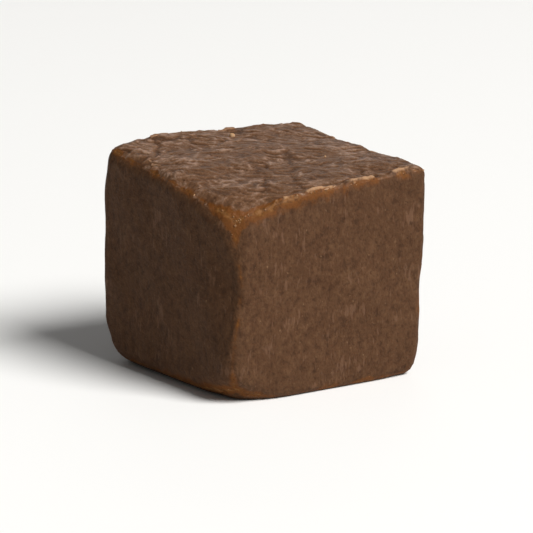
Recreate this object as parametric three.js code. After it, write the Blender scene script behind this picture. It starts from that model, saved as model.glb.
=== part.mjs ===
// A cube of chocolate fudge, cut with a knife from a set slab. It has a dried, folded skin on top,
// cut sides, worn edges, and one corner that slumped before the slab had set.
// Millimetres, +Z up. X runs along the longer side and Y along the shorter one. The origin is the
// middle of the cube's outline, on the surface that it stands on.
import * as THREE from "three";
import { mergeVertices } from "three/addons/utils/BufferGeometryUtils.js";

// Driving dimensions: the sides of the cut block, and how high each of its top corners stands.
const LENGTH = 25.5;
const WIDTH = 24.3;
const CORNER_HEIGHT = { frontLeft: 21.0, frontRight: 22.9, backRight: 23.6, backLeft: 24.4 };
const TOP_DOME = 0.35; // the middle of the skin stands this much higher than its corners make it
const EDGE_CROWN = { back: 0.2, right: -0.3 }; // and the middles of two top edges this much
const FOOT_TAPER = 1.25; // how far the right side draws in towards its foot
const LEFT_FLARE = 0.7; // how far the left side's back edge stands out past its front edge

// The radius of the worn edges, and where it is larger or smaller. A place is named by the ways
// that it faces along X, Y and Z, and 0 leaves a way out. What it adds to the radius fades out over
// its own reach or WEAR_REACH, as a share of half a side.
const EDGE_RADIUS = 1.0;
const SHARPEST_RADIUS = 0.55;
const WEAR_REACH = 0.3;
const WEAR = [
  { place: "left top edge", faces: [-1, 0, 1], more: 0.8 },
  { place: "front top edge", faces: [0, -1, 1], more: -0.25 },
  { place: "back top edge", faces: [0, 1, 1], more: -0.3 },
  { place: "right top edge", faces: [1, 0, 1], more: -0.3 },
  { place: "left foot edge", faces: [-1, 0, -1], more: 1.6 },
  { place: "front left edge", faces: [-1, -1, 0], more: -0.15 },
  { place: "front left top corner", faces: [-1, -1, 1], more: 1.5, reach: 0.5 },
  { place: "front left foot corner", faces: [-1, -1, -1], more: 1.2, reach: 0.45 },
  { place: "front right top corner", faces: [1, -1, 1], more: 0.7 },
  { place: "back right top corner", faces: [1, 1, 1], more: 0.5 },
  { place: "front right foot corner", faces: [1, -1, -1], more: 1.1 },
  { place: "back left top corner", faces: [-1, 1, 1], more: 0.7 },
  { place: "back right foot corner", faces: [1, 1, -1], more: 0.9 },
  { place: "back left foot corner", faces: [-1, 1, -1], more: 0.4 },
];

// The flat foot starts this share of its edges' radius in from the sides. Its corners are drawn in
// by the same share of how much more the corners are worn, over a few times as far along the sides.
const FOOT_SHARE = 0.65;
const FOOT_CORNER_REACH = 2.0;

// How far each side swells at its middle. The left side was pressed slightly hollow.
const SWELL = { left: -0.2, right: 0.7, front: 0.15, back: 0.3 };

// A finger's dent in the front left edge, pressed in from the left.
const DENT = { height: 12.5, reachUp: 5.6, reachIn: 3.4, depth: 1.35 };

// The front left top corner sank and drew in by this depth, less and less over this reach.
const SLUMP = { depth: 1.0, reach: 4.5 };

// The slab's unevenness: long, shallow waves and shorter ones.
const LONG_WAVES = { length: 11.0, depth: 0.16, phase: 0.7 };
const SHORT_WAVES = { length: 4.6, depth: 0.06, phase: 2.9 };

// Nicks and crags along the edges: where waves of this length rise above a level, the edge is
// broken away. An edge that is more worn has shallower ones.
const NICKS = { length: 4.3, phase: 5.1, level: 0.35, depth: 0.22, reach: 1.0 };

// The folds of the dried skin: two families of ridges, bent as they cross the top.
const FOLDS = [
  { spacing: 3.4, heading: 62, bend: 1.1, bendLength: 9.0, depth: 0.11 },
  { spacing: 5.1, heading: -18, bend: 1.4, bendLength: 7.0, depth: 0.08 },
];
const FOLD_FREE_RIM = 1.4; // how far in from the edges the folds reach their full height

// The ragged lip of skin that the knife dragged out over the front top edge.
const LIP = { height: 0.36, overhang: 0.22, width: 0.5, flakeLength: 5.3, gap: 0.15 };

const BASE_FADE = 2.6; // height above the foot at which the unevenness reaches its full depth
const CELLS = { x: 33, y: 31, z: 27 };
const CROWDING = 0.45; // 0 spaces the cells evenly, 1 draws them all towards the edges

const FUDGE_COLOUR = "#5c3f2f";

const { abs, cos, exp, hypot, max, sign, sin, PI } = Math;
const { degToRad, lerp, smoothstep } = THREE.MathUtils;

// Moves an evenly spaced step between -1 and 1 towards the nearer end.
function crowd(t) {
  return lerp(t, sin((PI / 2) * t), CROWDING);
}

// How worn the block is at (u, v, w), which run from -1 to 1 along X, Y and Z: its edge's radius.
function radiusAt(place) {
  let radius = EDGE_RADIUS;
  for (const { faces, more, reach = WEAR_REACH } of WEAR) {
    const away = hypot(...faces.map((face, i) => (face === 0 ? 0 : place[i] - face)));
    radius += more * exp(-((away / reach) ** 4));
  }
  return max(radius, SHARPEST_RADIUS);
}

// The height of the top over (u, v): it blends the four corners and adds the dome and the crowns.
function heightAt(u, v) {
  const front = lerp(CORNER_HEIGHT.frontLeft, CORNER_HEIGHT.frontRight, (1 + u) / 2);
  const back = lerp(CORNER_HEIGHT.backLeft, CORNER_HEIGHT.backRight, (1 + u) / 2);
  const dome = TOP_DOME * (1 - u * u) * (1 - v * v);
  const backCrown = (EDGE_CROWN.back * (1 - u * u) * (1 + v)) / 2;
  const rightCrown = (EDGE_CROWN.right * (1 - v * v) * (1 + u)) / 2;
  return lerp(front, back, (1 + v) / 2) + dome + backCrown + rightCrown;
}

// Leans the sides: the right one draws in towards its foot, and the left one stands out at the back.
function lean(point, u, v) {
  const lift = point.z / heightAt(u, v);
  point.x -= FOOT_TAPER * (1 - lift) * smoothstep(u, -1, 1);
  point.x -= (LEFT_FLARE * (1 - u) * (1 + v)) / 4;
}

// The block with rounded edges. Each point of the sharp block is drawn in to one radius from the
// nearest point of a core that is smaller by that radius all round.
function roundedBlock(place) {
  const [u, v, w] = place;
  const half = new THREE.Vector3(LENGTH, WIDTH, heightAt(u, v)).divideScalar(2);
  const sharp = half.clone().multiply(new THREE.Vector3(u, v, w));
  const radius = radiusAt(place);
  const core = half.clone().subScalar(radius);
  const nearest = sharp.clone().clamp(core.clone().negate(), core);
  const facing = sharp.sub(nearest).normalize();
  const point = nearest.addScaledVector(facing, radius);
  point.z += half.z;
  lean(point, u, v);
  return { point, facing };
}

// A smooth and repeatable roughness between about -1 and 1, from three crossed waves. Their lengths
// are a little apart and their phases odd, so that they never fall into step.
function waves({ x, y, z }, { length, phase }) {
  const k = (2 * PI) / length;
  const warp = 0.9 * sin(0.41 * k * (x + y) + phase) + 0.7 * sin(0.37 * k * (z - y));
  const first = sin(k * x + warp + 1.7 * phase) * cos(0.83 * k * y - 2.3 * phase);
  const second = sin(1.13 * k * y - warp + 0.6 * phase) * cos(0.91 * k * z + phase);
  const third = sin(1.07 * k * z + warp - phase) * cos(0.79 * k * x + 2 * phase);
  return (first + second + third) / 1.8;
}

// How far the sides bulge, or are pressed hollow, towards their middles.
function swell(facing, [u, v, w]) {
  const alongX = (facing.x < 0 ? SWELL.left : SWELL.right) * abs(facing.x) * (1 - v * v);
  const alongY = (facing.y < 0 ? SWELL.front : SWELL.back) * abs(facing.y) * (1 - u * u);
  return (alongX + alongY) * (1 - w * w);
}

// The distance from a place on the block's surface to the nearest edge.
function toEdge([u, v, w]) {
  const inward = [(LENGTH / 2) * (1 - abs(u)), (WIDTH / 2) * (1 - abs(v))];
  inward.push((heightAt(u, v) / 2) * (1 - abs(w)));
  return inward.sort((a, b) => a - b)[1];
}

// How deep the edge is broken away.
function nicks(point, place) {
  const broken = smoothstep(waves(point, NICKS), NICKS.level, 1);
  const sharp = (EDGE_RADIUS / max(radiusAt(place), EDGE_RADIUS)) ** 2;
  return NICKS.depth * broken * sharp * exp(-((toEdge(place) / NICKS.reach) ** 2));
}

// How far the dent pushes a point to the right.
function dent(point) {
  const up = (point.z - DENT.height) / DENT.reachUp;
  const right = (point.x + LENGTH / 2) / DENT.reachIn;
  const back = (point.y + WIDTH / 2) / DENT.reachIn;
  return DENT.depth * exp(-(up ** 2 + right ** 2 + back ** 2));
}

// How far the slumped corner takes a point with it: to the right, back and down, by as much each.
function slump(point) {
  const up = point.z - CORNER_HEIGHT.frontLeft;
  const away = hypot(point.x + LENGTH / 2, point.y + WIDTH / 2, up);
  return (SLUMP.depth / hypot(1, 1, 1)) * exp(-((away / SLUMP.reach) ** 2));
}

// The height of the skin's folds: rounded ridges with narrow valleys between them.
function folds(point) {
  let height = 0;
  for (const { spacing, heading, bend, bendLength, depth } of FOLDS) {
    const angle = degToRad(heading);
    const along = point.x * cos(angle) + point.y * sin(angle);
    const across = point.y * cos(angle) - point.x * sin(angle);
    const bent = across + bend * sin((2 * PI * along) / bendLength);
    height += depth * (2 * abs(sin((PI * bent) / spacing)) - 1);
  }
  return height;
}

// How far the knife's lip is raised, from 0 to 1, in flakes that come and go along the edge.
function lip(point, [u, v, w]) {
  const fromEdge = hypot((WIDTH / 2) * (1 + v), (heightAt(u, v) / 2) * (1 - w));
  const k = (2 * PI) / LIP.flakeLength;
  const flake = sin(k * point.x + 1.3 * sin(0.37 * k * point.x));
  const clear = (1 - u ** 4) * exp(-((fromEdge / LIP.width) ** 2));
  return smoothstep(flake, LIP.gap, 1) * clear;
}

// One point of the flat foot: a straight-sided outline with its corners cut back.
function footPoint(u, v) {
  const sideRadius = radiusAt([sign(u), 0, -1]);
  const frontRadius = radiusAt([0, sign(v), -1]);
  const cornerRadius = radiusAt([sign(u), sign(v), -1]);
  const cut = 2 * FOOT_SHARE * (cornerRadius - max(sideRadius, frontRadius));
  const fromCorner = (LENGTH / 2) * (1 - abs(u)) + (WIDTH / 2) * (1 - abs(v));
  const drawnIn = (cut / 2) * max(0, 1 - fromCorner / (FOOT_CORNER_REACH * cut));
  const x = u * (LENGTH / 2 - FOOT_SHARE * sideRadius) - sign(u) * drawnIn;
  const y = v * (WIDTH / 2 - FOOT_SHARE * frontRadius) - sign(v) * drawnIn;
  const point = new THREE.Vector3(x, y, 0);
  lean(point, u, v);
  return point;
}

// One point of the surface above the foot. Only the skin on top is folded.
function fudgePoint(place) {
  const { point, facing } = roundedBlock(place);
  const onSkin = smoothstep(facing.z, 0.5, 0.9) * smoothstep(toEdge(place), 0, FOLD_FREE_RIM);
  const bumps =
    swell(facing, place) +
    LONG_WAVES.depth * waves(point, LONG_WAVES) +
    SHORT_WAVES.depth * waves(point, SHORT_WAVES) +
    folds(point) * onSkin -
    nicks(point, place);
  const offset = bumps * smoothstep(point.z, 0, BASE_FADE);
  const raised = lip(point, place);
  const sunk = slump(point);
  point.x += dent(point) + sunk;
  point.y += sunk - LIP.overhang * raised;
  point.z += LIP.height * raised - sunk;
  point.addScaledVector(facing, offset);
  return point;
}

// A grid over a block of half size 1, with every vertex moved to the fudge's surface.
function fudgeGeometry() {
  const grid = new THREE.BoxGeometry(2, 2, 2, CELLS.x, CELLS.y, CELLS.z);
  grid.deleteAttribute("normal");
  grid.deleteAttribute("uv");
  const geometry = mergeVertices(grid);
  const vertices = geometry.getAttribute("position");
  for (let i = 0; i < vertices.count; i++) {
    const place = [vertices.getX(i), vertices.getY(i), vertices.getZ(i)].map(crowd);
    const onFoot = vertices.getZ(i) === -1;
    vertices.setXYZ(i, ...(onFoot ? footPoint(place[0], place[1]) : fudgePoint(place)));
  }
  geometry.computeBoundingBox();
  const middle = geometry.boundingBox.getCenter(new THREE.Vector3());
  geometry.translate(-middle.x, -middle.y, 0);
  geometry.computeVertexNormals();
  return geometry;
}

const fudge = new THREE.Mesh(
  fudgeGeometry(),
  new THREE.MeshStandardMaterial({ color: FUDGE_COLOUR, roughness: 0.55, metalness: 0 }),
);
fudge.name = "fudge_cube";

const fudgeCube = new THREE.Group();
fudgeCube.add(fudge);

export default fudgeCube;
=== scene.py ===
"""A cube of chocolate fudge: cut sides, a dried and wrinkled skin on top, and worn, crumbly rims.

Blender works in metres with +Z up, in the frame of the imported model. The sizes of the fudge are
given in millimetres, as a maker measures them, and are turned into metres as a mesh is made.
"""
import logging
import math
from dataclasses import dataclass
from enum import Enum
from itertools import product

import bpy
import numpy as np
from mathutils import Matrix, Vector
from numpy.typing import NDArray


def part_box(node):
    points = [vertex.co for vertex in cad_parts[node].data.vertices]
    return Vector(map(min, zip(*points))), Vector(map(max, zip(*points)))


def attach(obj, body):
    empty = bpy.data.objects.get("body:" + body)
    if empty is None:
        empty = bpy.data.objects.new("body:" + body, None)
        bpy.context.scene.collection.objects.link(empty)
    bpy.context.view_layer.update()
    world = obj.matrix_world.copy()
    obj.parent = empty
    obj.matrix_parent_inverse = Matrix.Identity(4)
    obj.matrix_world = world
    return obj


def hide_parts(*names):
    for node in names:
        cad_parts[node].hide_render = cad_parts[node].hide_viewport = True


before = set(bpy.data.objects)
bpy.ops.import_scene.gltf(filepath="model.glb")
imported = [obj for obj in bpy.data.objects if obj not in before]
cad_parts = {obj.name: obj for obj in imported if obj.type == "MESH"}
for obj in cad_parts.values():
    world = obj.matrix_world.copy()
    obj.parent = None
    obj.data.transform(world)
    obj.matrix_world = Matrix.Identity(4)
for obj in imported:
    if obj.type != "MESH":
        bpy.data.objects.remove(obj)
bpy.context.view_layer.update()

Array = NDArray[np.float64]
Whole = NDArray[np.int64]
Triple = tuple[float, float, float]

MM = 0.001
NODE = "fudge_cube"
BODY = "root"

# Large odd numbers with no common factor, which spread whole numbers over a word of 32 bits. In
# each round, the word's upper bits are folded onto its lower ones and the odd number spreads them.
WORD = 0xFFFFFFFF
CELL_ODDS = (0x27D4EB2D, 0x165667B1, 0x9E3779B1)
SEED_ODD = 0x85EBCA77
ROUNDS = ((15, 0x2C1B3C6D), (12, 0x297A2D39))
LAST_FOLD = 15

log = logging.getLogger("fudge")


# ---------------------------------------------------------------------------------------------
# Curves, noise and scattered spots
# ---------------------------------------------------------------------------------------------

def rise(value: Array, low: float, high: float) -> Array:
    """A soft step: 0 before low, 1 past high and 3t^2 - 2t^3 between, falling if high is lower."""
    t = np.clip((value - low) / (high - low), 0.0, 1.0)
    return t * t * (3.0 - 2.0 * t)


def hump(distance: Array, reach: float | Array) -> Array:
    """A bell of height 1: e to the power of minus the square of distance over reach."""
    return np.exp(-((distance / reach) ** 2))


def scramble(cell: Whole, seed: int) -> Whole:
    """Turns whole-number cells into unrelated whole numbers, the same ones on every run.

    Each coordinate is multiplied by its own large odd number and the results are combined bit by
    bit. Two rounds of folding and multiplying then spread every bit over the whole number.

    Args:
        cell: whole numbers of shape (..., 3).
        seed: a different seed gives different numbers.

    Returns:
        Whole numbers from 0 to 2^32 - 1, of shape (...).
    """
    first, second, third = CELL_ODDS
    mixed = cell[..., 0] * first ^ cell[..., 1] * second ^ cell[..., 2] * third
    mixed = (mixed ^ seed * SEED_ODD) & WORD
    for fold, odd in ROUNDS:
        mixed = ((mixed ^ (mixed >> fold)) * odd) & WORD
    return mixed ^ (mixed >> LAST_FOLD)


def chance(cell: Whole, seed: int) -> Array:
    """A repeatable number between 0 and 1 for each whole-number cell."""
    return scramble(cell, seed) / (WORD + 1.0)


@dataclass(frozen=True)
class Grain:
    """A smooth unevenness of one grain size, which is the same on every run.

    Attributes:
        size: the grain's size along X, Y and Z in millimetres.
        seed: which grain this is, of all those of its size.
        octaves: how many layers it has, each of half the size and half the height of the last.
    """

    size: Triple
    seed: int
    octaves: int = 1

    def layer(self, places: Array, seed: int) -> Array:
        """One layer of gradient noise, about -1 to 1, with cells of size 1.

        Every corner of a cell has one of the twelve ways from a cube's middle to its edges. A
        corner's height at a place is the dot product of that way with the step from the corner,
        and the eight are blended by 6t^5 - 15t^4 + 10t^3 along each side of the cell.

        Args:
            places: points measured in cells, of shape (N, 3).
            seed: which layer this is.

        Returns:
            The layer's height at each point.
        """
        ways = np.array([w for w in product((-1.0, 0.0, 1.0), repeat=3) if np.abs(w).sum() == 2])
        base = np.floor(places)
        within = places - base
        blend = within**3 * (within * (within * 6.0 - 15.0) + 10.0)
        total = np.zeros(len(places))
        for corner in product((0, 1), repeat=3):
            step = np.array(corner)
            way = ways[scramble(base.astype(np.int64) + step, seed) % len(ways)]
            share = np.where(step == 1, blend, 1.0 - blend).prod(axis=1)
            total += share * (way * (within - step)).sum(axis=1)
        return total

    def at(self, points: Array) -> Array:
        """The unevenness: the sum of the layers, over the sum of their heights.

        Args:
            points: millimetres, of shape (N, 3).

        Returns:
            About -1 to 1 at each point.
        """
        places = points / np.array(self.size)
        total = np.zeros(len(points))
        for octave in range(self.octaves):
            total += self.layer(places * 2.0**octave, self.seed + octave) * 0.5**octave
        return total / (2.0 - 0.5 ** (self.octaves - 1))


def even(size: float) -> Triple:
    """A grain size that is the same along X, Y and Z."""
    return size, size, size


@dataclass(frozen=True)
class Spots:
    """Spots scattered through space, one to a cell.

    Attributes:
        spacing: the cells' size in millimetres.
        seed: which scatter this is.
    """

    spacing: float
    seed: int

    def nearest(self, points: Array) -> tuple[Array, Array]:
        """Finds the nearest spot to each point.

        Each cell's spot stands at three repeatable chances along its sides. The spots of a
        point's own cell and of the 26 around it are compared, and the least distance is kept.

        Args:
            points: millimetres, of shape (N, 3).

        Returns:
            The distance to the nearest spot in millimetres, and that spot's own chance.
        """
        places = points / self.spacing
        base = np.floor(places).astype(np.int64)
        near = np.full(len(points), np.inf)
        luck = np.zeros(len(points))
        for step in product((-1, 0, 1), repeat=3):
            cell = base + np.array(step)
            spot = cell + np.stack([chance(cell, self.seed + k) for k in range(3)], axis=1)
            distance = np.linalg.norm(places - spot, axis=1)
            closer = distance < near
            near = np.where(closer, distance, near)
            luck = np.where(closer, chance(cell, self.seed + 3), luck)
        return near * self.spacing, luck


@dataclass(frozen=True)
class Tear:
    """A torn outline: the share of its full size that something keeps from place to place.

    Attributes:
        grain: the unevenness of the tear.
        middle: the share that is kept where the unevenness is 0.
        amount: how much the unevenness gives or takes.
        least, most: the shares that it stays between.
    """

    grain: Grain
    middle: float
    amount: float
    least: float
    most: float

    def kept(self, points: Array) -> Array:
        """The share kept: the middle plus the amount times the unevenness, within its bounds."""
        return np.clip(self.middle + self.amount * self.grain.at(points), self.least, self.most)


# ---------------------------------------------------------------------------------------------
# The block's form, from the same named sizes as its solid
# ---------------------------------------------------------------------------------------------

@dataclass(frozen=True)
class Wear:
    """A place on the block's edges and how much larger its radius is there, in millimetres.

    Attributes:
        faces: the ways that the place faces along X, Y and Z. 0 leaves a way out.
        more: what it adds to the edges' radius.
        reach: how far it reaches, as a share of half a side.
    """

    faces: tuple[int, int, int]
    more: float
    reach: float = 0.3


@dataclass(frozen=True)
class Waves:
    """Crossed waves of the slab's unevenness: their length, depth and phase."""

    length: float
    depth: float
    phase: float

    def at(self, points: Array) -> Array:
        """The waves: three products of a sine and a cosine, crossed and bent by a slower wave.

        The numbers beside k and the phase set the three apart, so that they never fall into
        step. The last one brings their sum to about -1 to 1.

        Args:
            points: millimetres, of shape (N, 3).

        Returns:
            The waves' height at each point, as a share of their depth.
        """
        x, y, z = points.T
        k = 2.0 * math.pi / self.length
        phase = self.phase
        warp = 0.9 * np.sin(0.41 * k * (x + y) + phase) + 0.7 * np.sin(0.37 * k * (z - y))
        first = np.sin(k * x + warp + 1.7 * phase) * np.cos(0.83 * k * y - 2.3 * phase)
        second = np.sin(1.13 * k * y - warp + 0.6 * phase) * np.cos(0.91 * k * z + phase)
        third = np.sin(1.07 * k * z + warp - phase) * np.cos(0.79 * k * x + 2.0 * phase)
        return (first + second + third) / 1.8


@dataclass(frozen=True)
class Grid:
    """A grid over the whole surface of a block, with its cells crowded towards the edges.

    Attributes:
        cells: the number of cells along X, Y and Z.
        crowding: 0 spaces the cells evenly and 1 draws them all towards the edges.
    """

    cells: tuple[int, int, int]
    crowding: float = 0.0

    def build(self) -> tuple[Array, Whole]:
        """Numbers the grid's nodes once each and joins them into outward quads.

        A node's place runs from -1 to 1 along each way. It is then moved from t towards
        sin(90 degrees * t) by the crowding.

        Returns:
            The nodes' places, of shape (N, 3), and the quads' four nodes, of shape (M, 4).
        """
        index = np.full([n + 1 for n in self.cells], -1, np.int64)
        shell = np.ones(index.shape, bool)
        shell[1:-1, 1:-1, 1:-1] = False
        index[shell] = np.arange(shell.sum())
        places = 2.0 * np.argwhere(shell) / np.array(self.cells) - 1.0
        places += self.crowding * (np.sin(0.5 * math.pi * places) - places)
        quads = []
        for axis, end in product(range(3), (0, -1)):
            face = index.take(end, axis=axis)
            corners = (face[:-1, :-1], face[1:, :-1], face[1:, 1:], face[:-1, 1:])
            quad = np.stack(corners, axis=-1).reshape(-1, 4)
            outward = (end == -1) != (axis == 1)
            quads.append(quad if outward else quad[:, ::-1])
        return places, np.concatenate(quads)


def normals_of(points: Array, quads: Whole) -> Array:
    """Each point's outward normal: the sum of its quads' diagonal cross products, made unit.

    Args:
        points: where the points are, of shape (N, 3).
        quads: the four points of each face, counter-clockwise from outside.

    Returns:
        The normals, of shape (N, 3).
    """
    across = points[quads[:, 2]] - points[quads[:, 0]]
    along = points[quads[:, 3]] - points[quads[:, 1]]
    faces = np.cross(across, along)
    total = np.zeros_like(points)
    for corner in range(4):
        np.add.at(total, quads[:, corner], faces)
    return total / np.linalg.norm(total, axis=1, keepdims=True)


@dataclass
class Surface:
    """The points of a surface in the making, in millimetres, and what is known of each.

    Attributes:
        points: where they are.
        normals: the ways that they face.
        places: their places on the block, from -1 to 1 along X, Y and Z.
        quads: how they are joined.
        to_edge: the distance to the nearest edge of the block.
        skin: 1 on the dried skin and 0 on the cut sides.
    """

    points: Array
    normals: Array
    places: Array
    quads: Whole
    to_edge: Array
    skin: Array


@dataclass(frozen=True)
class CutBlock:
    """The block as cut, in millimetres, from the same named sizes as its solid.

    Its front right foot corner alone is less worn than the solid's.

    Attributes:
        length, width: the sides along X and Y.
        corner_height: the top's height at the front left, front right, back left and back right.
        top_dome, back_crown, right_crown: how much higher the middle of the top, of its back
            edge and of its right edge are.
        foot_taper: how far the right side draws in towards its foot.
        left_flare: how far the left side's back edge stands out past its front edge.
        edge_radius, sharpest_radius: the edges' radius and its least value.
        wear: the places where the edges are more or less worn.
        swell: how far the left, right, front and back sides bulge at their middles.
        dent_height, dent_up, dent_in, dent_depth: the dent in the front left edge.
        slump_depth, slump_reach: how far the front left top corner sank, and how far that shows.
        long_waves, short_waves, nicks: the slab's unevenness, and the waves that nick its edges.
        nick_level, nick_reach: where a nick begins, and how far it reaches from an edge.
        base_fade: the height at which the unevenness reaches its full depth.
        skin_begins, skin_whole: how far up the surface faces, as the rise of its unit normal,
            where the skin on top begins and where it is whole.
    """

    length: float = 25.5
    width: float = 24.3
    corner_height: tuple[float, float, float, float] = (21.0, 22.9, 24.4, 23.6)
    top_dome: float = 0.35
    back_crown: float = 0.2
    right_crown: float = -0.3
    foot_taper: float = 1.25
    left_flare: float = 0.7
    edge_radius: float = 1.0
    sharpest_radius: float = 0.55
    wear: tuple[Wear, ...] = (
        Wear((-1, 0, 1), 0.8),
        Wear((0, -1, 1), -0.25),
        Wear((0, 1, 1), -0.3),
        Wear((1, 0, 1), -0.3),
        Wear((-1, 0, -1), 1.6),
        Wear((-1, -1, 0), -0.15),
        Wear((-1, -1, 1), 1.5, 0.5),
        Wear((-1, -1, -1), 1.2, 0.45),
        Wear((1, -1, 1), 0.7),
        Wear((1, 1, 1), 0.5),
        Wear((1, -1, -1), 0.5),
        Wear((-1, 1, 1), 0.7),
        Wear((1, 1, -1), 0.9),
        Wear((-1, 1, -1), 0.4),
    )
    swell: tuple[float, float, float, float] = (-0.2, 0.7, 0.15, 0.3)
    dent_height: float = 12.5
    dent_up: float = 5.6
    dent_in: float = 3.4
    dent_depth: float = 1.35
    slump_depth: float = 1.0
    slump_reach: float = 4.5
    long_waves: Waves = Waves(11.0, 0.16, 0.7)
    short_waves: Waves = Waves(4.6, 0.06, 2.9)
    nicks: Waves = Waves(4.3, 0.22, 5.1)
    nick_level: float = 0.35
    nick_reach: float = 1.0
    base_fade: float = 2.6
    skin_begins: float = 0.45
    skin_whole: float = 0.8

    def radius_at(self, places: Array) -> Array:
        """The edges' radius: the common one plus a flat-topped bell at each worn place.

        That bell is e to the power of minus the fourth power of the distance over its reach.

        Args:
            places: places on the block, from -1 to 1.

        Returns:
            The radius at each place in millimetres.
        """
        radius = np.full(len(places), self.edge_radius)
        for spot in self.wear:
            ways = np.array(spot.faces)
            away = np.linalg.norm((places - ways) * (ways != 0), axis=1)
            radius += spot.more * np.exp(-((away / spot.reach) ** 4))
        return np.maximum(radius, self.sharpest_radius)

    def height_at(self, places: Array) -> Array:
        """The top's height: a blend of its four corners, plus the dome and the edges' crowns.

        The blend is straight along X and Y. The dome and the crowns are parabolas that come to 0
        at the corners.

        Args:
            places: places on the block, from -1 to 1.

        Returns:
            The height of the top over each place in millimetres.
        """
        u, v = places[:, 0], places[:, 1]
        front_left, front_right, back_left, back_right = self.corner_height
        front = front_left + (front_right - front_left) * (1.0 + u) / 2.0
        back = back_left + (back_right - back_left) * (1.0 + u) / 2.0
        dome = self.top_dome * (1.0 - u * u) * (1.0 - v * v)
        dome += self.back_crown * (1.0 - u * u) * (1.0 + v) / 2.0
        dome += self.right_crown * (1.0 - v * v) * (1.0 + u) / 2.0
        return front + (back - front) * (1.0 + v) / 2.0 + dome

    def to_edge(self, places: Array) -> Array:
        """The distance to the nearest edge: the middle one of the distances to three sides."""
        half = np.stack(self.half_sides(places), axis=1)
        return np.sort(half * (1.0 - np.abs(places)), axis=1)[:, 1]

    def half_sides(self, places: Array) -> tuple[Array, Array, Array]:
        """Half the block's length, width and height at each place."""
        ones = np.ones(len(places))
        return ones * self.length / 2.0, ones * self.width / 2.0, self.height_at(places) / 2.0

    def shape(self, places: Array) -> tuple[Array, Array]:
        """The block with rounded, worn edges, swollen sides, a dent and nicked rims.

        Each point of the sharp block is drawn in to one radius from the nearest point of a core
        that is smaller by that radius all round. The right side then leans in towards its foot
        and the left one leans out towards its back. Next come the dent, a bell that pushes to
        the right, and the slump, a bell that takes a corner right, back and down alike. Last,
        the point moves along the way that it faces by the swell and the waves, less the nicks,
        all fading out towards the foot.

        Args:
            places: the grid's places, from -1 to 1.

        Returns:
            The points in millimetres, and the ways that the rounded block faces at them.
        """
        half = np.stack(self.half_sides(places), axis=1)
        sharp = half * places
        radius = self.radius_at(places)[:, None]
        core = half - radius
        nearest = np.clip(sharp, -core, core)
        facing = sharp - nearest
        facing /= np.linalg.norm(facing, axis=1, keepdims=True)
        points = nearest + facing * radius
        points[:, 2] += half[:, 2]
        u, v, w = places.T
        lift = points[:, 2] / (2.0 * half[:, 2])
        points[:, 0] -= self.foot_taper * (1.0 - lift) * rise(u, -1.0, 1.0)
        points[:, 0] -= self.left_flare * (1.0 - u) * (1.0 + v) / 4.0

        left, right, front, back = self.swell
        side = np.where(facing[:, 0] < 0, left, right) * np.abs(facing[:, 0]) * (1.0 - v * v)
        face = np.where(facing[:, 1] < 0, front, back) * np.abs(facing[:, 1]) * (1.0 - u * u)
        bumps = (side + face) * (1.0 - w * w)
        bumps += self.long_waves.depth * self.long_waves.at(points)
        bumps += self.short_waves.depth * self.short_waves.at(points)
        broken = rise(self.nicks.at(points), self.nick_level, 1.0)
        crisp = (self.edge_radius / np.maximum(radius[:, 0], self.edge_radius)) ** 2
        bumps -= self.nicks.depth * broken * crisp * hump(self.to_edge(places), self.nick_reach)
        bumps *= rise(points[:, 2], 0.0, self.base_fade)

        up = (points[:, 2] - self.dent_height) / self.dent_up
        right_way = (points[:, 0] + self.length / 2.0) / self.dent_in
        back_way = (points[:, 1] + self.width / 2.0) / self.dent_in
        dent = self.dent_depth * np.exp(-(up**2 + right_way**2 + back_way**2))
        corner = np.array([-self.length / 2.0, -self.width / 2.0, self.corner_height[0]])
        away = np.linalg.norm(points - corner, axis=1)
        sunk = self.slump_depth / math.sqrt(3.0) * hump(away, self.slump_reach)
        points += sunk[:, None] * np.array([1.0, 1.0, -1.0])
        points[:, 0] += dent
        return points + facing * bumps[:, None], facing

    def surface(self, grid: Grid) -> Surface:
        """The block's surface over a grid, set so that its outline's middle is the solid's.

        Args:
            grid: how finely it is divided.

        Returns:
            The surface, with nothing below the floor.
        """
        places, quads = grid.build()
        points, facing = self.shape(places)
        low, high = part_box(NODE)
        middle = (np.array(low) + np.array(high)) / 2.0 / MM
        points[:, :2] += middle[:2] - (points.min(axis=0) + points.max(axis=0))[:2] / 2.0
        points[:, 2] = np.maximum(points[:, 2], 0.0)
        return Surface(
            points=points,
            normals=normals_of(points, quads),
            places=places,
            quads=quads,
            to_edge=self.to_edge(places),
            skin=rise(facing[:, 2], self.skin_begins, self.skin_whole),
        )


# ---------------------------------------------------------------------------------------------
# Relief: what the knife, the air and the fingers left on the surface
# ---------------------------------------------------------------------------------------------

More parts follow.
